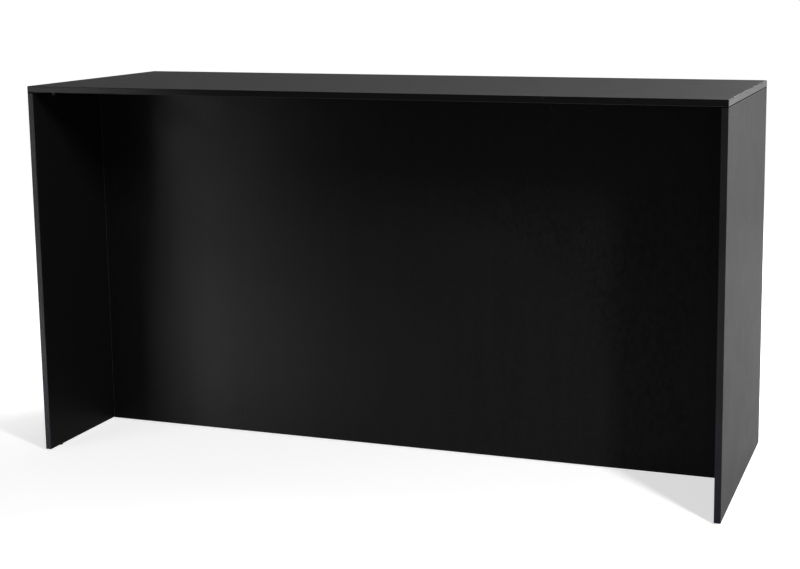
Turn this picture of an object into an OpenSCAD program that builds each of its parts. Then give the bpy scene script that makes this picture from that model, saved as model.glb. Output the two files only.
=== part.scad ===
// High table made of laminated boards: a long top on two gables with a modesty panel between them.
// Lengths are in millimetres. +X runs along the table, the front edge faces -Y and +Z is up.
// The origin is on the floor, below the middle of the top.

/* [Table] */
// Length of the top, over the outer faces of both gables
table_length = 2000; // [1200:10:2400]
// Depth of the top and of the gables
table_depth = 700; // [500:10:900]
// Height of the table's surface above the floor
table_height = 1080; // [700:10:1200]
// Distance of the modesty panel behind the middle of the depth
panel_offset = 0; // [-100:5:100]

/* [Boards] */
// Thickness of the laminated board that every panel is cut from
board_t = 18; // [16:1:25]
// Thickness of the plastic band glued to every edge that shows
band_t = 2; // [1:0.5:3]
// Radius of the arris along each band
arris_r = 1.5; // [0.5:0.25:2]

/* [Connector positions] */
// Distance of a gable's connectors from the front and rear edges
gable_inset = 100; // [70:5:140]
// Distance of the modesty panel's end connectors from its bottom and top edges
panel_end_inset = 100; // [80:5:180]
// Number of connectors in each end of the modesty panel
panel_end_count = 3; // [2:1:4]
// Distance of the modesty panel's top connectors from its ends
panel_top_inset = 250; // [150:10:350]
// Number of connectors along the top edge of the modesty panel
panel_top_count = 3; // [2:1:5]
// Distance from a row's outer connector to the dowel beside it
dowel_pitch = 64; // [32:32:96]

/* [Connector housing] */
// Diameter of the plastic housing pressed into the board
housing_d = 20; // [18:0.5:22]
// Thickness of the housing under the cam
housing_floor = 0.8; // [0.5:0.1:1]
// Width of the rim that covers the bore's edge
rim_w = 1; // [0.5:0.25:1.5]
// Thickness of that rim
rim_t = 0.8; // [0.5:0.1:1.2]
// Distance of the connector bolt's axis below the board's face
bolt_axis_depth = 9; // [8:0.25:9.5]

/* [Cam] */
// Diameter of the metal cam
cam_d = 10; // [9.5:0.25:12]
// Thickness of metal left under the bolt's head
cam_skin = 0.8; // [0.5:0.1:1]
// Distance of the cam's end below the housing's rim
cam_recess = 0.5; // [0.2:0.1:1]
// Turn from the opening that takes the bolt's head to the locked position, in degrees
cam_turn = 135; // [100:5:160]
// Length of each slot of the cross recess for the screwdriver
driver_slot_l = 6; // [4:0.5:7]
// Width of each slot of the cross recess
driver_slot_w = 1.2; // [0.8:0.1:1.5]
// Depth of the cross recess
driver_slot_depth = 2; // [1:0.25:2.5]

/* [Connector bolt] */
// Diameter of the ball-shaped head that the cam pulls
head_d = 6; // [5:0.25:6.5]
// Diameter of the neck behind the head
neck_d = 4; // [3:0.25:4.5]
// Diameter of the collar that stops on the facing board
collar_d = 7; // [6.5:0.25:8]
// Thickness of the collar
collar_t = 1.5; // [1:0.25:2.5]
// Diameter of the screw in the facing board
screw_d = 5; // [4:0.25:6]
// Length of the screw in the facing board
screw_l = 11; // [8:0.5:13]

/* [Dowels] */
// Diameter of the wooden dowels
dowel_d = 8; // [6:1:10]
// Length of the wooden dowels
dowel_l = 30; // [25:1:35]
// Depth of the dowel in the board whose face is bored
dowel_face_depth = 12; // [10:0.5:13]
// Chamfer round both ends of the dowel
dowel_chamfer = 1; // [0.5:0.25:1.5]
// Room for glue past each end of the dowel
glue_room = 1; // [0.5:0.25:1.5]

/* [Levelling feet] */
// Distance of the feet from the gables' front and rear edges
foot_inset = 60; // [40:5:100]
// Diameter of the foot's plastic base
foot_d = 16; // [14:0.5:18]
// Thickness of the foot's plastic base
foot_base_t = 2.7; // [2.5:0.1:5]
// Number of grip flutes round the base
flute_count = 16; // [8:1:24]
// Diameter of each grip flute
flute_d = 1.6; // [1:0.2:2]
// Diameter of the steel stud
stud_d = 8; // [6:1:8]
// Distance that the foot can be wound down
foot_travel = 8; // [4:1:12]
// Length of stud that stays in its sleeve when the foot is wound right down
stud_grip = 14; // [10:1:20]
// Wall of the threaded sleeve in the gable
sleeve_wall = 1.5; // [1:0.25:2]

/* [Fits] */
// Clearance on the radius round pieces that are glued, screwed or pressed in
fixed_fit = 0.05; // [0.03:0.01:0.1]
// Clearance on the radius round studs and cams, which turn
turning_fit = 0.08; // [0.03:0.01:0.1]
// Clearance round the bolt's head, neck and collar
bolt_play = 0.2; // [0.1:0.05:0.3]
// Space between a foot's base and the gable when the foot is wound in
foot_seat_gap = 0.3; // [0.3:0.1:1]

/* [Hidden] */
$fn = 48;
LEFT = -1;
RIGHT = 1;
FRONT = 0;
REAR = 1;
// Amount by which a cutter runs past the face that it cuts
past = 1;

// Faces and middle planes of the boards
end_x = table_length / 2;
edge_y = table_depth / 2;
inner_x = end_x - board_t;
gable_mid_x = end_x - board_t / 2;
floor_gap = foot_base_t + foot_seat_gap;
top_under_z = table_height - board_t;
panel_front_y = panel_offset - board_t / 2;
panel_rear_y = panel_offset + board_t / 2;
arris = min(arris_r, band_t);

// Connector sizes that follow from the sizes above
cam_depth = bolt_axis_depth + head_d / 2 + bolt_play + cam_skin;
housing_depth = cam_depth + housing_floor;
mouth_d = collar_d + 2 * bolt_play;
// The housing's bore breaks out of the board's edge just as wide as the bolt's collar needs
centre_to_edge = sqrt(pow(housing_d / 2, 2) - pow(mouth_d / 2, 2));
screw_tip_l = screw_d / 2;

// Foot sizes that follow from the sizes above
stud_l = foot_travel + stud_grip;
sleeve_l = stud_l + 2;
sleeve_d = stud_d + 2 * (turning_fit + sleeve_wall);
flange_d = stud_d + 2;
flange_t = 1;
foot_skin = 0.8;
foot_edge_r = 0.8;

function spread(low, high, count) = [for (i = [0 : count - 1]) low + (high - low) * i / (count - 1)];

gable_connector_y = spread(-edge_y + gable_inset, edge_y - gable_inset, 2);
gable_dowel_y = spread(-edge_y + gable_inset + dowel_pitch, edge_y - gable_inset - dowel_pitch, 2);
panel_end_low_z = floor_gap + panel_end_inset;
panel_end_high_z = top_under_z - panel_end_inset;
panel_end_connector_z = spread(panel_end_low_z, panel_end_high_z, panel_end_count);
panel_end_dowel_z = spread(panel_end_low_z + dowel_pitch, panel_end_high_z - dowel_pitch, 2);
panel_top_reach = inner_x - panel_top_inset;
panel_top_connector_x = spread(-panel_top_reach, panel_top_reach, panel_top_count);
panel_top_dowel_x = spread(-panel_top_reach + dowel_pitch, panel_top_reach - dowel_pitch, 2);
foot_y = spread(-edge_y + foot_inset, edge_y - foot_inset, 2);

// Shapes shared by the boards

module box(low, high) {
    translate(low)
        cube(high - low);
}

module rounded_rectangle(width, height) {
    square([width - 2 * arris, height], center = true);
    square([width, height - 2 * arris], center = true);
    for (x = [-1, 1], y = [-1, 1])
        translate([x * (width / 2 - arris), y * (height / 2 - arris)])
            circle(r = arris);
}

// Block between two corners, with every edge rounded to the arris radius
module rounded_block(low, high) {
    size = high - low;
    translate((low + high) / 2)
        intersection() {
            linear_extrude(size.z, center = true)
                rounded_rectangle(size.x, size.y);
            rotate([90, 0, 0])
                linear_extrude(size.y, center = true)
                    rounded_rectangle(size.x, size.z);
            rotate([0, 90, 0])
                linear_extrude(size.x, center = true)
                    rounded_rectangle(size.z, size.y);
        }
}

// The part of a finished panel's outline that lies between two corners
module band(low, high) {
    color([0.06, 0.06, 0.07])
        intersection() {
            children();
            box(low, high);
        }
}

// Places of the fittings

// Connectors and dowels are drawn in a frame of their own.
// A connector's origin is the centre of its bore on the board's face: +Z leaves that face and
// +X points over the board's edge to the facing board.

module at_gable_connectors(side) {
    for (y = gable_connector_y)
        translate([side * inner_x, y, top_under_z - centre_to_edge])
            rotate([0, -90, side == RIGHT ? 0 : 180])
                children();
}

module at_panel_end_connectors(side) {
    for (z = panel_end_connector_z)
        translate([side * (inner_x - centre_to_edge), panel_rear_y, z])
            rotate([-side * 90, 0, side == RIGHT ? 0 : 180])
                children();
}

module at_panel_top_connectors() {
    for (x = panel_top_connector_x)
        translate([x, panel_rear_y, top_under_z - centre_to_edge])
            rotate([0, -90, -90])
                children();
}

// A dowel's origin is on its axis in the joint's plane, and +Z enters the board whose face is bored.

module at_gable_dowels(side) {
    for (y = gable_dowel_y)
        translate([side * gable_mid_x, y, top_under_z])
            children();
}

module at_panel_end_dowels(side) {
    for (z = panel_end_dowel_z)
        translate([side * inner_x, panel_offset, z])
            rotate([0, side * 90, 0])
                children();
}

module at_panel_top_dowels() {
    for (x = panel_top_dowel_x)
        translate([x, panel_offset, top_under_z])
            children();
}

module at_feet(side) {
    for (y = foot_y)
        translate([side * gable_mid_x, y, 0])
            children();
}

// Bores for the fittings

module housing_bore() {
    translate([0, 0, -housing_depth])
        cylinder(d = housing_d + 2 * fixed_fit, h = housing_depth + past);
}

module screw_bore() {
    translate([centre_to_edge, 0, -bolt_axis_depth])
        rotate([0, 90, 0])
            cylinder(d = screw_d + 2 * fixed_fit, h = screw_l + glue_room);
}

module dowel_bore() {
    translate([0, 0, dowel_face_depth - dowel_l - glue_room])
        cylinder(d = dowel_d + 2 * fixed_fit, h = dowel_l + 2 * glue_room);
}

module sleeve_bore() {
    translate([0, 0, floor_gap - past])
        cylinder(d = sleeve_d + 2 * fixed_fit, h = sleeve_l + past);
}

// Tabletop

module tabletop_outline() {
    rounded_block([-end_x, -edge_y, top_under_z], [end_x, edge_y, table_height]);
}

module tabletop_board() {
    color([0.10, 0.10, 0.11])
        difference() {
            box(
                [-end_x + band_t, -edge_y + band_t, top_under_z],
                [end_x - band_t, edge_y - band_t, table_height]
            );
            for (side = [LEFT, RIGHT]) {
                at_gable_connectors(side)
                    screw_bore();
                at_gable_dowels(side)
                    dowel_bore();
            }
            at_panel_top_connectors()
                screw_bore();
            at_panel_top_dowels()
                dowel_bore();
        }
}

// The front and rear bands run over the ends of the side bands
module tabletop_front_band() {
    band([-end_x, -edge_y, top_under_z], [end_x, -edge_y + band_t, table_height])
        tabletop_outline();
}

module tabletop_rear_band() {
    band([-end_x, edge_y - band_t, top_under_z], [end_x, edge_y, table_height])
        tabletop_outline();
}

module tabletop_left_band() {
    band([-end_x, -edge_y + band_t, top_under_z], [-end_x + band_t, edge_y - band_t, table_height])
        tabletop_outline();
}

module tabletop_right_band() {
    band([end_x - band_t, -edge_y + band_t, top_under_z], [end_x, edge_y - band_t, table_height])
        tabletop_outline();
}

// Gables

// X of a gable's lower and upper face
function gable_low_x(side) = side == RIGHT ? inner_x : -end_x;
function gable_high_x(side) = side == RIGHT ? end_x : -inner_x;

// The outline runs on above the gable, because the top edge is cut square and hidden
module gable_outline(side) {
    rounded_block(
        [gable_low_x(side), -edge_y, floor_gap],
        [gable_high_x(side), edge_y, top_under_z + 2 * arris]
    );
}

module gable_board(side) {
    color([0.10, 0.10, 0.11])
        difference() {
            box(
                [gable_low_x(side), -edge_y + band_t, floor_gap + band_t],
                [gable_high_x(side), edge_y - band_t, top_under_z]
            );
            at_gable_connectors(side)
                housing_bore();
            at_gable_dowels(side)
                dowel_bore();
            at_panel_end_connectors(side)
                screw_bore();
            at_panel_end_dowels(side)
                dowel_bore();
            at_feet(side)
                sleeve_bore();
        }
}

module gable_front_band(side) {
    band([gable_low_x(side), -edge_y, floor_gap], [gable_high_x(side), -edge_y + band_t, top_under_z])
        gable_outline(side);
}

module gable_rear_band(side) {
    band([gable_low_x(side), edge_y - band_t, floor_gap], [gable_high_x(side), edge_y, top_under_z])
        gable_outline(side);
}

module gable_bottom_band(side) {
    difference() {
        band(
            [gable_low_x(side), -edge_y + band_t, floor_gap],
            [gable_high_x(side), edge_y - band_t, floor_gap + band_t]
        )
            gable_outline(side);
        at_feet(side)
            sleeve_bore();
    }
}

// Modesty panel

module modesty_panel_board() {
    color([0.08, 0.08, 0.09])
        difference() {
            box([-inner_x, panel_front_y, floor_gap + band_t], [inner_x, panel_rear_y, top_under_z]);
            for (side = [LEFT, RIGHT]) {
                at_panel_end_connectors(side)
                    housing_bore();
                at_panel_end_dowels(side)
                    dowel_bore();
            }
            at_panel_top_connectors()
                housing_bore();
            at_panel_top_dowels()
                dowel_bore();
        }
}

// Only the bottom edge shows, so the outline runs on past the ends
module modesty_panel_bottom_band() {
    band([-inner_x, panel_front_y, floor_gap], [inner_x, panel_rear_y, floor_gap + band_t])
        rounded_block(
            [-end_x, panel_front_y, floor_gap],
            [end_x, panel_rear_y, top_under_z]
        );
}

// Knock-down connectors

// Path that the bolt takes through the housing from the board's edge
module bolt_channel(diameter) {
    translate([0, 0, -bolt_axis_depth])
        rotate([0, 90, 0])
            cylinder(d = diameter, h = housing_d);
}

module housing() {
    color([0.05, 0.05, 0.05])
        difference() {
            union() {
                translate([0, 0, -housing_depth])
                    cylinder(d = housing_d, h = housing_depth);
                cylinder(d = housing_d + 2 * rim_w, h = rim_t);
            }
            translate([0, 0, -cam_depth])
                cylinder(d = cam_d + 2 * turning_fit, h = cam_depth + rim_t + past);
            bolt_channel(mouth_d);
            translate([centre_to_edge, -housing_d, -housing_d])
                cube(2 * housing_d);
        }
}

// Slot along the bolt, from the cam's middle out through its wall
module radial_slot(width) {
    translate([0, -width / 2, -width / 2])
        cube([cam_d, width, width]);
}

// The bolt's head enters the cam through the opening, and a turn brings the slot round its neck
module cam() {
    head_room = head_d + 2 * bolt_play;
    neck_room = neck_d + 2 * bolt_play;
    cam_top = rim_t - cam_recess;
    color([0.72, 0.66, 0.50])
        difference() {
            translate([0, 0, -cam_depth])
                cylinder(d = cam_d, h = cam_depth + cam_top);
            translate([0, 0, -bolt_axis_depth]) {
                cylinder(d = head_room, h = head_room, center = true);
                radial_slot(neck_room);
                rotate_extrude(angle = cam_turn)
                    translate([0, -neck_room / 2])
                        square([cam_d, neck_room]);
                rotate([0, 0, cam_turn])
                    radial_slot(head_room);
            }
            for (turn = [0, 90])
                rotate([0, 0, turn])
                    translate([-driver_slot_l / 2, -driver_slot_w / 2, cam_top - driver_slot_depth])
                        cube([driver_slot_l, driver_slot_w, driver_slot_depth + past]);
        }
}

module bolt() {
    color([0.75, 0.75, 0.77])
        translate([0, 0, -bolt_axis_depth])
            rotate([0, 90, 0]) {
                sphere(d = head_d);
                cylinder(d = neck_d, h = centre_to_edge);
                translate([0, 0, centre_to_edge - collar_t])
                    cylinder(d = collar_d, h = collar_t);
                translate([0, 0, centre_to_edge])
                    cylinder(d = screw_d, h = screw_l - screw_tip_l);
                translate([0, 0, centre_to_edge + screw_l - screw_tip_l])
                    cylinder(d1 = screw_d, d2 = screw_d / 2, h = screw_tip_l);
            }
}

// Dowels

module dowel() {
    color([0.80, 0.65, 0.45])
        translate([0, 0, dowel_face_depth - dowel_l]) {
            cylinder(d1 = dowel_d - 2 * dowel_chamfer, d2 = dowel_d, h = dowel_chamfer);
            translate([0, 0, dowel_chamfer])
                cylinder(d = dowel_d, h = dowel_l - 2 * dowel_chamfer);
            translate([0, 0, dowel_l - dowel_chamfer])
                cylinder(d1 = dowel_d, d2 = dowel_d - 2 * dowel_chamfer, h = dowel_chamfer);
        }
}

// Levelling feet

module sleeve() {
    color([0.15, 0.15, 0.15])
        translate([0, 0, floor_gap])
            difference() {
                cylinder(d = sleeve_d, h = sleeve_l);
                translate([0, 0, -past])
                    cylinder(d = stud_d + 2 * turning_fit, h = sleeve_l + 2 * past);
            }
}

// Disc with a rounded lower edge and grip flutes, moulded round the stud's flange
module foot_base() {
    color([0.05, 0.05, 0.05])
        difference() {
            rotate_extrude() {
                square([foot_d / 2 - foot_edge_r, foot_base_t]);
                translate([0, foot_edge_r])
                    square([foot_d / 2, foot_base_t - foot_edge_r]);
                translate([foot_d / 2 - foot_edge_r, foot_edge_r])
                    circle(r = foot_edge_r);
            }
            for (i = [0 : flute_count - 1])
                rotate([0, 0, i * 360 / flute_count])
                    translate([foot_d / 2 + flute_d / 4, 0, -past])
                        cylinder(d = flute_d, h = foot_base_t + 2 * past);
            translate([0, 0, foot_skin])
                cylinder(d = flange_d + 2 * fixed_fit, h = flange_t);
            translate([0, 0, foot_skin])
                cylinder(d = stud_d + 2 * fixed_fit, h = foot_base_t);
        }
}

module foot_stud() {
    chamfer = stud_d / 8;
    stud_top = floor_gap + stud_l;
    color([0.75, 0.75, 0.77]) {
        translate([0, 0, foot_skin])
            cylinder(d = flange_d, h = flange_t);
        translate([0, 0, foot_skin])
            cylinder(d = stud_d, h = stud_top - chamfer - foot_skin);
        translate([0, 0, stud_top - chamfer])
            cylinder(d1 = stud_d, d2 = stud_d - 2 * chamfer, h = chamfer);
    }
}

module one_foot(side, row) {
    translate([side * gable_mid_x, foot_y[row], 0])
        children();
}

tabletop_board();
tabletop_front_band();
tabletop_rear_band();
tabletop_left_band();
tabletop_right_band();

gable_board(LEFT);  // left_gable_board
gable_front_band(LEFT);  // left_gable_front_band
gable_rear_band(LEFT);  // left_gable_rear_band
gable_bottom_band(LEFT);  // left_gable_bottom_band
gable_board(RIGHT);  // right_gable_board
gable_front_band(RIGHT);  // right_gable_front_band
gable_rear_band(RIGHT);  // right_gable_rear_band
gable_bottom_band(RIGHT);  // right_gable_bottom_band

modesty_panel_board();
modesty_panel_bottom_band();

at_gable_connectors(LEFT) housing();  // left_gable_connector_housings
at_gable_connectors(LEFT) cam();  // left_gable_connector_cams
at_gable_connectors(LEFT) bolt();  // left_gable_connector_bolts
at_gable_connectors(RIGHT) housing();  // right_gable_connector_housings
at_gable_connectors(RIGHT) cam();  // right_gable_connector_cams
at_gable_connectors(RIGHT) bolt();  // right_gable_connector_bolts

for (side = [LEFT, RIGHT]) at_panel_end_connectors(side) housing();  // panel_end_connector_housings
for (side = [LEFT, RIGHT]) at_panel_end_connectors(side) cam();  // panel_end_connector_cams
for (side = [LEFT, RIGHT]) at_panel_end_connectors(side) bolt();  // panel_end_connector_bolts
at_panel_top_connectors() housing();  // panel_top_connector_housings
at_panel_top_connectors() cam();  // panel_top_connector_cams
at_panel_top_connectors() bolt();  // panel_top_connector_bolts

for (side = [LEFT, RIGHT]) at_gable_dowels(side) dowel();  // gable_dowels
for (side = [LEFT, RIGHT]) at_panel_end_dowels(side) dowel();  // panel_end_dowels
at_panel_top_dowels() dowel();  // panel_top_dowels

for (side = [LEFT, RIGHT]) at_feet(side) sleeve();  // foot_sleeves
one_foot(LEFT, FRONT) foot_base();  // front_left_foot_base
one_foot(LEFT, FRONT) foot_stud();  // front_left_foot_stud
one_foot(LEFT, REAR) foot_base();  // rear_left_foot_base
one_foot(LEFT, REAR) foot_stud();  // rear_left_foot_stud
one_foot(RIGHT, FRONT) foot_base();  // front_right_foot_base
one_foot(RIGHT, FRONT) foot_stud();  // front_right_foot_stud
one_foot(RIGHT, REAR) foot_base();  // rear_right_foot_base
one_foot(RIGHT, REAR) foot_stud();  // rear_right_foot_stud
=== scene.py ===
"""High table of black laminate: the looks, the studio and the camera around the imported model."""

import math

import bpy
from mathutils import Matrix, Vector


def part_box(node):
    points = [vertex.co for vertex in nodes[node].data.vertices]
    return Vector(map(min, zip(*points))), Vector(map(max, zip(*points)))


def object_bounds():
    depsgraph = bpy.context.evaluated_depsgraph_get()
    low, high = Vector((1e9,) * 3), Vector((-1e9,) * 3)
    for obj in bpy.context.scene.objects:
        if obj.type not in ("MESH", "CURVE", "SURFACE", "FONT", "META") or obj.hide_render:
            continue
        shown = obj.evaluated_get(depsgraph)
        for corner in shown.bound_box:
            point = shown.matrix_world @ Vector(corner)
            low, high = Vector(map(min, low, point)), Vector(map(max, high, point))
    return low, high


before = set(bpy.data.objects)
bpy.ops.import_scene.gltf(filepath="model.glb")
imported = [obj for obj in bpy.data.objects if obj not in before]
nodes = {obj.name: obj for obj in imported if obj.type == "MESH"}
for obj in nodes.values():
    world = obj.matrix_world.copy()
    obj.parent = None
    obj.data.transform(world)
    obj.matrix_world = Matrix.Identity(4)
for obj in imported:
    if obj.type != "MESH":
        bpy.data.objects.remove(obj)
cad_low, cad_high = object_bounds()


def grey(level):
    """An opaque colour with the same level of red, green and blue."""
    return (level, level, level, 1)


# Places on the table, in metres, read from the frame
HALF_LENGTH = cad_high.x
HALF_DEPTH = cad_high.y
_, gable_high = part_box("left_gable_board")
INNER_FACE = -gable_high.x
UNDERSIDE = gable_high.z
panel_low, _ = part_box("modesty_panel_board")
PANEL_FRONT = panel_low.y

# Camera, fitted to the corners of the table in the photograph; a shift moves the picture right and up
IMAGE_WIDTH_PX = 800
SENSOR_WIDTH_MM = 36
CAMERA_PLACE = Vector((1.553, -3.940, 1.378))
CAMERA_YAW = math.radians(-18.97)
CAMERA_PITCH = math.radians(8.75)
CAMERA_ROLL = math.radians(-0.44)
FOCAL_LENGTH_PX = 1476.2
PICTURE_RIGHT_PX = 64.1
PICTURE_UP_PX = 80

# Studio: sizes in metres, brightness in shares of white
WHITE = grey(1)
FLOOR_SIZE = 60
FLOOR_COLOR = grey(0.65)
FLOOR_GLOW_NEAR = 0.64
FLOOR_GLOW_FAR = 0.92
FLOOR_NEAR = 2.5
FLOOR_FAR = 8
WORLD_LIGHT = 0.15

# Pairs of thin beams from the left: degrees left of the table's front, watts low down, watts higher up
LEFT_BEAMS = ((22, 0.50, 0.07), (29, 0.42, 0.36), (36, 0.64, 0.38), (43, 1.00, 0.21))
LOW_BEAM = {"height": 0.17, "tall": 0.32, "spread": 14}
HIGH_BEAM = {"height": 0.77, "tall": 0.6, "spread": 10}
BEAM_DISTANCE = 3.6
BEAM_WIDTH = 0.62

# Laminate: sizes in metres
PEARL_SIZE = 0.0011
PEARL_DEPTH = 0.00003
LAMINATE_SHEEN = 0.020
PANEL_BLACK = grey(0.0054)
PANEL_GREY = grey(0.0092)
# The gables' colours, darker than the panel's, are painted shade
GABLE_BLACK_PAINTED_SHADE = grey(0.0041)
GABLE_GREY_PAINTED_SHADE = grey(0.0070)
# The top's colours, paler than the panel's, are painted light
TOP_BLACK_PAINTED_LIGHT = (0.0122, 0.0122, 0.0123, 1)
TOP_GREY_PAINTED_LIGHT = (0.0185, 0.0185, 0.0188, 1)
WIPED_ROUGHNESS = 0.035

# Mottle and dust on the laminate: features per metre, and how much of the paler colour they show
MOTTLE_SCALE = 190
MOTTLE_SHARE = 0.8
MOTTLE_ROUGHNESS = 0.05
DUST_SCALE = 38
DUST_RADIUS_IN_CELLS = 0.05
DUSTLESS_SHARE = 0.93
DUST_SHARE = 0.5
DUST_GREY = (0.040, 0.040, 0.042, 1)

# Joint lines between the boards: painted shade, with a partly painted highlight beside it; sizes in metres
JOINT_SHADE_WIDTH = 0.0020
# A paler line beside the joint: partly chips in the laminate, partly a painted highlight on the board's
# edge
CHIPPED_AND_LIT_WIDTH = 0.0018
CHIPPED_AND_LIT_SHARE = 0.8
CHIPPED_AND_LIT_GREY = (0.036, 0.036, 0.042, 1)
# Painted shade in the joint between the boards
JOINT_SHADE_BLACK = grey(0.0005)

# Marks of use on the panel's front: sizes in metres
STAINS_LEFT = 0.15
STAINS_LEFT_FADE = 0.10
STAINS_TOP = 0.84
STAINS_TOP_FADE = 0.05
STAIN_SHARE = 0.55
STAIN_ROUGHNESS = 0.06
STAIN_BLACK = grey(0.0030)
CLEAN_CENTRE = (0.15, PANEL_FRONT, 0.20)
CLEAN_RADIUS = 0.50
RUBBED_SHARE = 0.4
SCUFF_RADIUS = 0.043
SCUFF_WIDTH = 0.0016
SCUFF_CENTRES = ((0.496, PANEL_FRONT, 1.039), (0.496, PANEL_FRONT, 0.985))
SPECK_RADIUS = 0.0022
SPECKS = ((0.708, PANEL_FRONT, 0.655), (0.8285, PANEL_FRONT, 0.506), (0.555, PANEL_FRONT, 0.986))

# Edge band: lines per metre, sizes in metres, worn colours without alpha
ACROSS_LINES = 900
ALONG_LINES = 6
LINE_DEPTH = 0.00004
LINE_ROUGHNESS = 0.08
BAND_SHEEN = 0.041
BAND_BLACK = (0.0025, 0.0025, 0.0026, 1)
LEFT_WORN = (0.0088, 0.0088, 0.0091)
# The right band's paler colour is partly wear and partly painted light, for the brighter light on that edge
RIGHT_WORN_AND_LIT = (0.0152, 0.0152, 0.0157)
# Painted bluish tint of the floor's light on the bands' lower ends, and the height in metres where it ends
FLOOR_LIGHT_TINT = (0.94, 0.93, 1.33)
FLOOR_LIGHT_TINT_TOP = 0.38
# Painted highlight of the floor's light along the rounded arrises, strongest where they face down
ARRIS_HIGHLIGHT_GREY = (0.036, 0.035, 0.041, 1)
ARRIS_ROUGHNESS = 0.3
NICK = (0.531, -HALF_DEPTH, 1.0745)
NICK_RADIUS = 0.0015
NICK_GREY = (0.050, 0.050, 0.047, 1)

# Plastic of the fittings: features per metre, sizes in metres
PLASTIC_SHEEN = 0.3
PLASTIC_ROUGHNESS_CHANGE = 0.12
ERODED_SCALE = 2200
ERODED_DEPTH = 0.00004
HOUSING_BLACK = grey(0.009)
HOUSING_RUBBED = grey(0.016)
SLEEVE_GREY = (0.035, 0.035, 0.036, 1)
SLEEVE_RUBBED = grey(0.05)
FOOT_BLACK = grey(0.010)
FOOT_RUBBED = (0.022, 0.022, 0.021, 1)

# Metal of the fittings: sizes in metres
METAL_ROUGHNESS_CHANGE = 0.14
METAL_DEPTH = 0.00003
BRIGHT_STEEL = (0.62, 0.62, 0.64, 1)
DULL_STEEL = (0.46, 0.46, 0.45, 1)
STEEL_GRAIN = 0.0003
BRIGHT_CAM = (0.66, 0.60, 0.36, 1)
DULL_CAM = (0.42, 0.38, 0.22, 1)
CAM_GRAIN = 0.0004

# Wood of the dowels: sizes in metres
WOOD_SHEEN = 0.3
WOOD_SMOOTHEST = 0.62
WOOD_ROUGHEST = 0.74
WOOD_DEPTH = 0.0001
WOOD_DARK = (0.52, 0.34, 0.19, 1)
WOOD_PALE = (0.66, 0.47, 0.28, 1)
WOOD_FLECK = (0.30, 0.17, 0.09, 1)


class Shader:
    """A material's node tree, with one short call for each kind of node."""

    def __init__(self, name):
        self.material = bpy.data.materials.new(name)
        self.material.use_nodes = True
        self.tree = self.material.node_tree
        self.surface = self.tree.nodes["Principled BSDF"]

    def feed(self, socket, value):
        if isinstance(value, bpy.types.NodeSocket):
            self.tree.links.new(value, socket)
        else:
            socket.default_value = value

    def finish_with(self, **inputs):
        """Sets or links the surface's inputs; an underscore stands for a space."""
        for name, value in inputs.items():
            self.feed(self.surface.inputs[name.replace("_", " ")], value)
        return self.material

    def add(self, kind, settings=(), **inputs):
        node = self.tree.nodes.new(kind)
        for name, value in dict(settings).items():
            setattr(node, name, value)
        for name, value in inputs.items():
            self.feed(node.inputs[name.replace("_", " ")], value)
        return node

    def place(self):
        """Points of the surface in the table's own frame, in metres."""
        return self.add("ShaderNodeTexCoord").outputs["Object"]

    def coordinates(self):
        return self.add("ShaderNodeSeparateXYZ", Vector=self.place()).outputs

    def stretched(self, x, y, z):
        """The table's frame counted in features per metre along each direction."""
        return self.add("ShaderNodeMapping", Vector=self.place(), Scale=(x, y, z)).outputs["Vector"]

    def facing(self):
        """The surface's direction, as three numbers along x, y and z."""
        normal = self.add("ShaderNodeNewGeometry").outputs["Normal"]
        return self.add("ShaderNodeSeparateXYZ", Vector=normal).outputs

    def noise(self, vector, scale=1, detail=2, roughness=0.5, distortion=0):
        node = self.add("ShaderNodeTexNoise", Vector=vector, Scale=scale, Detail=detail,
                        Roughness=roughness, Distortion=distortion)
        return node.outputs["Fac"]

    def clouds(self, vector, low, high, weakest=0.0, **grain):
        """Soft patches: noise up to low gives the weakest value, and noise from high on gives one."""
        return self.range(self.noise(vector, **grain), low, high, weakest, 1.0)

    def math(self, operation, first, second=0.0):
        node = self.add("ShaderNodeMath", {"operation": operation})
        self.feed(node.inputs[0], first)
        self.feed(node.inputs[1], second)
        return node.outputs[0]

    def product(self, *values):
        result = values[0]
        for value in values[1:]:
            result = self.math("MULTIPLY", result, value)
        return result

    def swing(self, field, amount):
        """A change that spans the amount as the field goes from zero to one, with none in the middle."""
        return self.product(self.math("SUBTRACT", field, 0.5), amount)

    def distance(self, place):
        """Metres between the surface and a place on the table."""
        node = self.add("ShaderNodeVectorMath", {"operation": "DISTANCE"})
        self.feed(node.inputs[0], self.place())
        self.feed(node.inputs[1], place)
        return node.outputs["Value"]

    def range(self, value, low, high, to_low=0.0, to_high=1.0):
        """Turns low..high into to_low..to_high, eased at both ends and clamped."""
        node = self.add("ShaderNodeMapRange", {"interpolation_type": "SMOOTHSTEP"}, Value=value)
        limits = {"From Min": low, "From Max": high, "To Min": to_low, "To Max": to_high}
        for name, number in limits.items():
            self.feed(node.inputs[name], number)
        return node.outputs["Result"]

    def fade(self, value, start, end):
        """One up to the start, and from there down to zero at the end."""
        return self.range(value, start, end, 1.0, 0.0)

    def spots(self, places, radius):
        """One inside small round spots at the given places."""
        shown = 0.0
        for place in places:
            spot = self.fade(self.distance(place), 0.5 * radius, radius)
            shown = self.math("MAXIMUM", shown, spot)
        return shown

    def mix(self, share, first, second):
        node = self.add("ShaderNodeMix", {"data_type": "RGBA"}, Factor=share, A=first, B=second)
        return node.outputs["Result"]

    def bump(self, height, depth, strength):
        node = self.add("ShaderNodeBump", Height=height, Distance=depth, Strength=strength)
        return node.outputs["Normal"]


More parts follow.
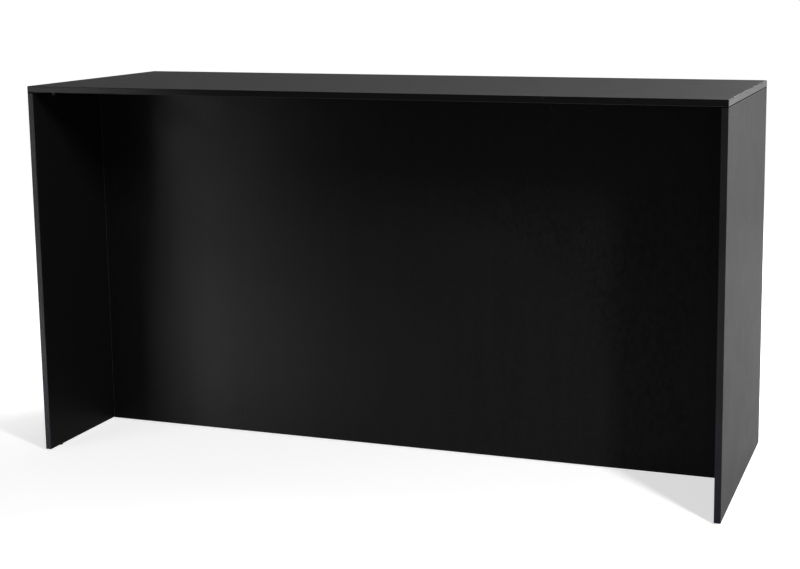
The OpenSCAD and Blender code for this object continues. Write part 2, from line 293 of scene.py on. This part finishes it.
def stains(shader):
    """Dried splashes on the panel's right part, a little taller than wide, around a wiped place."""
    at = shader.coordinates()
    right_part = shader.range(at["X"], STAINS_LEFT, STAINS_LEFT + STAINS_LEFT_FADE)
    lower_part = shader.fade(at["Z"], STAINS_TOP - STAINS_TOP_FADE, STAINS_TOP)
    unwiped = shader.range(shader.distance(CLEAN_CENTRE), 0.9 * CLEAN_RADIUS, 1.1 * CLEAN_RADIUS)
    patches = shader.clouds(shader.place(), low=0.34, high=0.54, weakest=0.3, scale=6)
    blots = shader.clouds(shader.stretched(78, 78, 42), low=0.46, high=0.60, detail=5, roughness=0.65)
    return shader.product(right_part, lower_part, unwiped, patches, blots)


def scuffs(shader):
    """Faint arcs on the panel's front, rubbed by something hard that swung past.

    Each is the lower left part of a ring, cut off at shares of its radius from the centre.
    """
    at = shader.coordinates()
    shown = 0.0
    for centre in SCUFF_CENTRES:
        off_line = shader.math("ABSOLUTE", shader.math("SUBTRACT", shader.distance(centre), SCUFF_RADIUS))
        line = shader.fade(off_line, 0.3 * SCUFF_WIDTH, SCUFF_WIDTH)
        left_part = shader.math("LESS_THAN", at["X"], centre[0] - 0.62 * SCUFF_RADIUS)
        lower_part = shader.range(at["Z"], centre[2], centre[2] - 0.35 * SCUFF_RADIUS)
        shown = shader.math("MAXIMUM", shown, shader.product(line, left_part, lower_part))
    return shown


def joint(shader, depth):
    """Two masks at a board's joint: a line of painted shade, and beside it a paler line,
    partly the laminate's chips and partly a painted highlight on the board's edge.

    depth is how far the surface is from the joint, in metres.
    """
    # Painted shade in the joint
    joint_shade = shader.fade(depth, 0.9 * JOINT_SHADE_WIDTH, JOINT_SHADE_WIDTH)
    # Beside it, a paler line: partly chips in the laminate, partly a painted highlight on the board's edge
    end = JOINT_SHADE_WIDTH + CHIPPED_AND_LIT_WIDTH
    beside = shader.fade(depth, end, 1.2 * end)
    chips = shader.clouds(shader.place(), low=0.34, high=0.60, weakest=0.45, scale=130, detail=4)
    return joint_shade, shader.product(beside, chips)


def dust(shader):
    """One inside the few round specks of dust that lie scattered on a board."""
    cells = shader.add("ShaderNodeTexVoronoi", Vector=shader.place(), Scale=DUST_SCALE).outputs
    chance = shader.add("ShaderNodeSeparateXYZ", Vector=cells["Color"]).outputs["X"]
    dusty = shader.math("GREATER_THAN", chance, DUSTLESS_SHARE)
    speck = shader.fade(cells["Distance"], 0.4 * DUST_RADIUS_IN_CELLS, DUST_RADIUS_IN_CELLS)
    return shader.product(dusty, speck)


def laminate(name, roughness, wipe, wiped, smeared, darkest, palest):
    """Satin black melamine, wiped along one direction, with smears, mottle and dust.

    wipe holds the streaks per metre along x, y and z; few streaks per metre are long ones.
    wiped is how much they show, and smeared is how much smears change the roughness.
    Returns the shader, its colour and its roughness.
    """
    shader = Shader(name)
    streaks = shader.clouds(shader.stretched(*wipe), low=0.35, high=0.68, detail=3, roughness=0.6)
    smears = shader.clouds(shader.place(), low=0.36, high=0.66, scale=8, detail=4, distortion=1.2)
    mottle = shader.clouds(
        shader.place(), low=0.34, high=0.66, scale=MOTTLE_SCALE, detail=3, roughness=0.7)

    black = shader.mix(shader.product(streaks, wiped), darkest, palest)
    black = shader.mix(shader.product(mottle, MOTTLE_SHARE), black, palest)
    black = shader.mix(shader.product(dust(shader), DUST_SHARE), black, DUST_GREY)
    changes = ((streaks, WIPED_ROUGHNESS * wiped), (smears, smeared), (mottle, MOTTLE_ROUGHNESS))
    rough = roughness
    for field, amount in changes:
        rough = shader.math("ADD", rough, shader.swing(field, amount))
    return shader, black, rough


def finish_laminate(shader, black, rough):
    """Gives a laminate its fine pearl surface and its low, even sheen."""
    pearl = shader.noise(shader.place(), scale=1 / PEARL_SIZE, detail=1)
    return shader.finish_with(
        Base_Color=black, Roughness=rough, Specular_IOR_Level=LAMINATE_SHEEN,
        Normal=shader.bump(pearl, PEARL_DEPTH, strength=0.6))


def finish_joined_laminate(shader, black, rough, depth):
    """Finishes a laminate that has a joint line of painted shade, at the given depth from the surface."""
    joint_shade, chipped_and_lit = joint(shader, depth)
    # The paler line beside the joint: partly chips, partly a painted highlight on the board's edge
    black = shader.mix(shader.product(chipped_and_lit, CHIPPED_AND_LIT_SHARE), black, CHIPPED_AND_LIT_GREY)
    # The joint's painted shade
    black = shader.mix(joint_shade, black, JOINT_SHADE_BLACK)
    return finish_laminate(shader, black, shader.math("MAXIMUM", rough, joint_shade))


def laminate_top():
    """The top's laminate, the palest as painted light and the roughest, wiped along the table."""
    layers = laminate(
        "laminate_top", roughness=0.73, wipe=(1.6, 14, 14), wiped=0.35, smeared=0.018,
        darkest=TOP_BLACK_PAINTED_LIGHT, palest=TOP_GREY_PAINTED_LIGHT)
    return finish_laminate(*layers)


def laminate_gable():
    """The gables' laminate, wiped up and down, with a joint line of painted shade under the top."""
    # The gables' colours, darker than the panel's, are painted shade
    shader, black, rough = laminate(
        "laminate_gable", roughness=0.44, wipe=(26, 26, 2.2), wiped=0.25, smeared=0.018,
        darkest=GABLE_BLACK_PAINTED_SHADE, palest=GABLE_GREY_PAINTED_SHADE)
    under_top = shader.math("SUBTRACT", UNDERSIDE, shader.coordinates()["Z"])
    return finish_joined_laminate(shader, black, rough, under_top)


def laminate_panel():
    """The panel's laminate, with painted-shade joint lines at the gables and the marks of use on its front.
    """
    shader, black, rough = laminate(
        "laminate_panel", roughness=0.40, wipe=(30, 30, 2.2), wiped=0.30, smeared=0.07,
        darkest=PANEL_BLACK, palest=PANEL_GREY)
    at = shader.coordinates()
    front = shader.math("LESS_THAN", at["Y"], 0.0)
    stained = shader.product(front, stains(shader))
    marks = shader.math("MAXIMUM", scuffs(shader), shader.spots(SPECKS, SPECK_RADIUS))
    rubbed = shader.product(front, marks)
    black = shader.mix(shader.product(stained, STAIN_SHARE), black, STAIN_BLACK)
    black = shader.mix(shader.product(rubbed, RUBBED_SHARE), black, DUST_GREY)
    rough = shader.math("ADD", rough, shader.product(stained, STAIN_ROUGHNESS))
    from_gable = shader.math("SUBTRACT", INNER_FACE, shader.math("ABSOLUTE", at["X"]))
    return finish_joined_laminate(shader, black, rough, from_gable)


def rounded_arris(shader, facing):
    """One where the surface faces between the table's axes, as it does along a rounded arris.

    squareness is how much of the surface's direction lies along the axis nearest to it.
    """
    squareness = 0.0
    for side in ("X", "Y", "Z"):
        squareness = shader.math("MAXIMUM", squareness, shader.math("ABSOLUTE", facing[side]))
    return shader.fade(squareness, 0.90, 0.995)


def edge_band(name, run, roughness=0.30, worn=LEFT_WORN, worn_at_top=0.0, under_top=False):
    """Black plastic edge band: faint lines along its run, worn paler low down, painted arris highlights.

    run holds the lines per metre along x, y and z. worn is the colour that it is worn to, with a
    slight painted tint of the floor's light near the floor, and worn_at_top is how worn it is under the
    top, where one is fully worn. A band under the top ends in the joint's painted shade.
    """
    shader = Shader(name)
    at = shader.coordinates()
    facing = shader.facing()
    lines = shader.noise(shader.stretched(*run))
    arris = rounded_arris(shader, facing)

    # Painted bluish tint of the floor's light near the floor
    worn_in_floor_light = [level * tint for level, tint in zip(worn, FLOOR_LIGHT_TINT)]
    foot = shader.range(at["Z"], FLOOR_LIGHT_TINT_TOP, 0.25 * FLOOR_LIGHT_TINT_TOP)
    pale = shader.mix(foot, (*worn, 1), (*worn_in_floor_light, 1))
    low = shader.range(at["Z"], UNDERSIDE, 0.4 * UNDERSIDE, to_low=worn_at_top)
    patchy = shader.clouds(shader.place(), low=0.35, high=0.65, weakest=0.7, scale=7, detail=3)
    black = shader.mix(shader.product(low, patchy), BAND_BLACK, pale)

    # Painted highlight of the floor's light along the rounded arrises, strongest where they face down
    nibbled = shader.clouds(shader.place(), low=0.35, high=0.60, weakest=0.5, scale=160, detail=3)
    facing_down = shader.range(facing["Z"], low=-0.1, high=-0.5, to_low=0.15)
    black = shader.mix(shader.product(arris, nibbled, facing_down), black, ARRIS_HIGHLIGHT_GREY)
    black = shader.mix(shader.spots([NICK], NICK_RADIUS), black, NICK_GREY)

    rough = shader.math("ADD", roughness, shader.swing(lines, LINE_ROUGHNESS))
    rough = shader.math("ADD", rough, shader.product(arris, ARRIS_ROUGHNESS))
    if under_top:
        # Painted shade at the joint under the top
        joint_shade = shader.range(at["Z"], UNDERSIDE - 1.4 * JOINT_SHADE_WIDTH, UNDERSIDE - 1.2 * JOINT_SHADE_WIDTH)
        black = shader.mix(joint_shade, black, JOINT_SHADE_BLACK)
        rough = shader.math("MAXIMUM", rough, joint_shade)
    return shader.finish_with(
        Base_Color=black, Roughness=rough, Specular_IOR_Level=BAND_SHEEN,
        Normal=shader.bump(lines, LINE_DEPTH, strength=0.5))


def moulded_plastic(name, dark, pale, roughness):
    """Moulded plastic with a spark-eroded surface and rubbed patches."""
    shader = Shader(name)
    rubbed = shader.clouds(shader.place(), low=0.42, high=0.66, scale=90, detail=4)
    eroded = shader.noise(shader.place(), scale=ERODED_SCALE)
    return shader.finish_with(
        Base_Color=shader.mix(rubbed, dark, pale), Specular_IOR_Level=PLASTIC_SHEEN,
        Roughness=shader.math("ADD", roughness, shader.swing(rubbed, PLASTIC_ROUGHNESS_CHANGE)),
        Normal=shader.bump(eroded, ERODED_DEPTH, strength=0.5))


def metal(name, bright, dull, roughness, grain_size):
    """Plated or cast metal with dull clouds and a fine grain."""
    shader = Shader(name)
    clouded = shader.clouds(shader.place(), low=0.38, high=0.64, scale=260, detail=5, roughness=0.65)
    grain = shader.noise(shader.place(), scale=1 / grain_size)
    return shader.finish_with(
        Base_Color=shader.mix(clouded, bright, dull), Metallic=1.0,
        Roughness=shader.math("ADD", roughness, shader.product(clouded, METAL_ROUGHNESS_CHANGE)),
        Normal=shader.bump(grain, METAL_DEPTH, strength=0.5))


def dowel_wood():
    """Beech turned along x, with short dark flecks in the grain."""
    shader = Shader("dowel_wood")
    grain = shader.clouds(shader.stretched(60, 900, 900), low=0.3, high=0.7, detail=4, roughness=0.6)
    flecks = shader.clouds(shader.stretched(300, 2600, 2600), low=0.62, high=0.72, detail=1)
    wood = shader.mix(flecks, shader.mix(grain, WOOD_DARK, WOOD_PALE), WOOD_FLECK)
    return shader.finish_with(
        Base_Color=wood, Specular_IOR_Level=WOOD_SHEEN,
        Roughness=shader.range(grain, 0, 1, WOOD_SMOOTHEST, WOOD_ROUGHEST),
        Normal=shader.bump(grain, WOOD_DEPTH, strength=0.4))


def edge_band_finishes():
    """The bands' finishes by the way that they run. The upright ones are worn right up to the top;
    the right one is paler, partly as painted light.
    """
    upright = (ACROSS_LINES, ACROSS_LINES, ALONG_LINES)
    return {
        "along": edge_band("edge_band_along", (ALONG_LINES, ACROSS_LINES, ACROSS_LINES)),
        "across": edge_band("edge_band_across", (ACROSS_LINES, ALONG_LINES, ACROSS_LINES)),
        "left": edge_band(
            "edge_band_left", upright, roughness=0.36, worn=LEFT_WORN, worn_at_top=0.7, under_top=True),
        "right": edge_band(
            "edge_band_right", upright, roughness=0.36, worn=RIGHT_WORN_AND_LIT, worn_at_top=0.43, under_top=True),
    }


def run_of(name):
    """The way that an edge band runs: along or across the table, or upright at its left or right."""
    low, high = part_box(name)
    size = high - low
    upright = "left" if low.x < 0 else "right"
    return {size.x: "along", size.y: "across", size.z: upright}[max(size)]


def dress_table():
    """Gives each node the finish of its slot in the record; two boards have one of their own."""
    boards = {"tabletop_board": laminate_top(), "modesty_panel_board": laminate_panel()}
    bands = edge_band_finishes()
    finishes = {
        "black_laminate": laminate_gable(),
        "housing_plastic": moulded_plastic("housing_plastic", HOUSING_BLACK, HOUSING_RUBBED, roughness=0.5),
        "sleeve_plastic": moulded_plastic("sleeve_plastic", SLEEVE_GREY, SLEEVE_RUBBED, roughness=0.45),
        "foot_plastic": moulded_plastic("foot_plastic", FOOT_BLACK, FOOT_RUBBED, roughness=0.55),
        "cam_metal": metal("cam_metal", BRIGHT_CAM, DULL_CAM, roughness=0.34, grain_size=CAM_GRAIN),
        "dowel_wood": dowel_wood(),
    }
    for slot_name in ("bolt_steel", "stud_steel"):
        finishes[slot_name] = metal(
            slot_name, BRIGHT_STEEL, DULL_STEEL, roughness=0.24, grain_size=STEEL_GRAIN)
    for name, node in nodes.items():
        slot_name = node.material_slots[0].material.name
        if name in boards:
            material = boards[name]
        elif slot_name == "edge_band":
            material = bands[run_of(name)]
        else:
            material = finishes[slot_name]
        for slot in node.material_slots:
            slot.material = material


def shown_as_backdrop(tree):
    """One for the rays that show the backdrop: from the camera, mirrored or passed through."""
    path = tree.nodes.new("ShaderNodeLightPath")
    shown = path.outputs["Is Camera Ray"]
    for name in ("Is Glossy Ray", "Is Transmission Ray"):
        larger = tree.nodes.new("ShaderNodeMath")
        larger.operation = "MAXIMUM"
        tree.links.new(shown, larger.inputs[0])
        tree.links.new(path.outputs[name], larger.inputs[1])
        shown = larger.outputs[0]
    return shown


def studio_world():
    """A white backdrop all round, which lights the table only at WORLD_LIGHT."""
    world = bpy.data.worlds.new("studio")
    bpy.context.scene.world = world
    world.use_nodes = True
    tree = world.node_tree
    strength = tree.nodes.new("ShaderNodeMapRange")
    strength.inputs["To Min"].default_value = WORLD_LIGHT
    strength.inputs["To Max"].default_value = 1
    tree.links.new(shown_as_backdrop(tree), strength.inputs["Value"])
    background = tree.nodes["Background"]
    background.inputs["Color"].default_value = WHITE
    tree.links.new(strength.outputs["Result"], background.inputs["Strength"])


def studio_floor():
    """A pale floor that shows white where it is open and keeps the table's soft shadow."""
    half = FLOOR_SIZE / 2
    corners = [(-half, -half, 0), (half, -half, 0), (half, half, 0), (-half, half, 0)]
    mesh = bpy.data.meshes.new("floor")
    mesh.from_pydata(corners, [], [(0, 1, 2, 3)])
    floor = bpy.data.objects.new("floor", mesh)
    bpy.context.scene.collection.objects.link(floor)
    shader = Shader("floor")
    away = shader.add("ShaderNodeVectorMath", {"operation": "LENGTH"})
    shader.feed(away.inputs[0], shader.place())
    level = shader.range(away.outputs["Value"], FLOOR_NEAR, FLOOR_FAR, FLOOR_GLOW_NEAR, FLOOR_GLOW_FAR)
    glow = shader.math("MULTIPLY", shown_as_backdrop(shader.tree), level)
    mesh.materials.append(shader.finish_with(
        Base_Color=FLOOR_COLOR, Roughness=1.0, Specular_IOR_Level=0.0,
        Emission_Color=WHITE, Emission_Strength=glow))


def lamp(name, place, target, width, height, watts, spread=180):
    """A soft box that the camera doesn't see; a small spread, in degrees, keeps its light in a beam."""
    light = bpy.data.lights.new(name, "AREA")
    light.shape = "RECTANGLE"
    light.size = width
    light.size_y = height
    light.energy = watts
    light.spread = math.radians(spread)
    holder = bpy.data.objects.new(name, light)
    holder.location = place
    holder.rotation_euler = (Vector(target) - Vector(place)).to_track_quat("-Z", "Y").to_euler()
    holder.visible_camera = False
    bpy.context.scene.collection.objects.link(holder)


def left_beam(azimuth, watts, height, tall, spread):
    """A gridded strip that grazes the left gable's front edge and reaches the panel behind it.

    height is where it meets the edge, and tall is how tall the strip itself is.
    """
    edge = Vector((-HALF_LENGTH, -HALF_DEPTH, height))
    turn = math.radians(azimuth)
    place = edge - BEAM_DISTANCE * Vector((math.sin(turn), math.cos(turn), 0))
    lamp("left_beam", place, edge, BEAM_WIDTH, tall, watts, spread)


def studio_lamps():
    """Thin beams and a faint low fill at the front left, a strip at the front right, and soft boxes
    over, behind and right of the table. Places and sizes are in metres."""
    for azimuth, low_watts, high_watts in LEFT_BEAMS:
        left_beam(azimuth, low_watts, **LOW_BEAM)
        left_beam(azimuth, high_watts, **HIGH_BEAM)
    lamp("key", (3.08, -2.4, 2.97), target=(0.3, 0, 0.6), width=0.35, height=1.0, watts=140)
    lamp("overhead", (0.2, 2.4, 4.2), target=(0, 0, 0.8), width=2.4, height=1.4, watts=130)
    lamp("back", (1.7, 4.1, 2.5), target=(0.4, 0, 1.0), width=1.2, height=1.0, watts=132)
    lamp("side", (5.0, 0.5, 2.0), target=(1.0, 0, 0.5), width=1.2, height=1.2, watts=97)
    lamp("right", (3.0, 4.0, 0.6), target=(1.0, 0, 0.6), width=1.0, height=0.8, watts=18)
    lamp("right_low", (3.4, 2.0, 0.6), target=(1.0, 0, 0.4), width=1.0, height=0.8, watts=17)
    lamp("fill", (-3.0, -3.5, 0.30), target=(0.5, 0, 0), width=0.8, height=0.4, watts=1.6, spread=20)


def photo_camera():
    """The camera that shows the table as the photograph does, with a slight tilt and a shifted frame."""
    forward = Vector((math.sin(CAMERA_YAW) * math.cos(CAMERA_PITCH),
                      math.cos(CAMERA_YAW) * math.cos(CAMERA_PITCH),
                      -math.sin(CAMERA_PITCH)))
    level_right = Vector((math.cos(CAMERA_YAW), -math.sin(CAMERA_YAW), 0))
    level_up = level_right.cross(forward)
    right = level_right * math.cos(CAMERA_ROLL) + level_up * math.sin(CAMERA_ROLL)
    up = level_up * math.cos(CAMERA_ROLL) - level_right * math.sin(CAMERA_ROLL)
    camera = bpy.data.cameras.new("photo_camera")
    camera.sensor_width = SENSOR_WIDTH_MM
    camera.lens = FOCAL_LENGTH_PX * SENSOR_WIDTH_MM / IMAGE_WIDTH_PX
    camera.shift_x = -PICTURE_RIGHT_PX / IMAGE_WIDTH_PX
    camera.shift_y = -PICTURE_UP_PX / IMAGE_WIDTH_PX
    holder = bpy.data.objects.new("photo_camera", camera)
    turn = Matrix((right, up, -forward)).transposed().to_4x4()
    holder.matrix_world = Matrix.Translation(CAMERA_PLACE) @ turn
    bpy.context.scene.collection.objects.link(holder)
    bpy.context.scene.camera = holder


photo_camera()
bpy.context.scene.view_settings.view_transform = "Standard"
studio_world()
studio_floor()
studio_lamps()
dress_table()
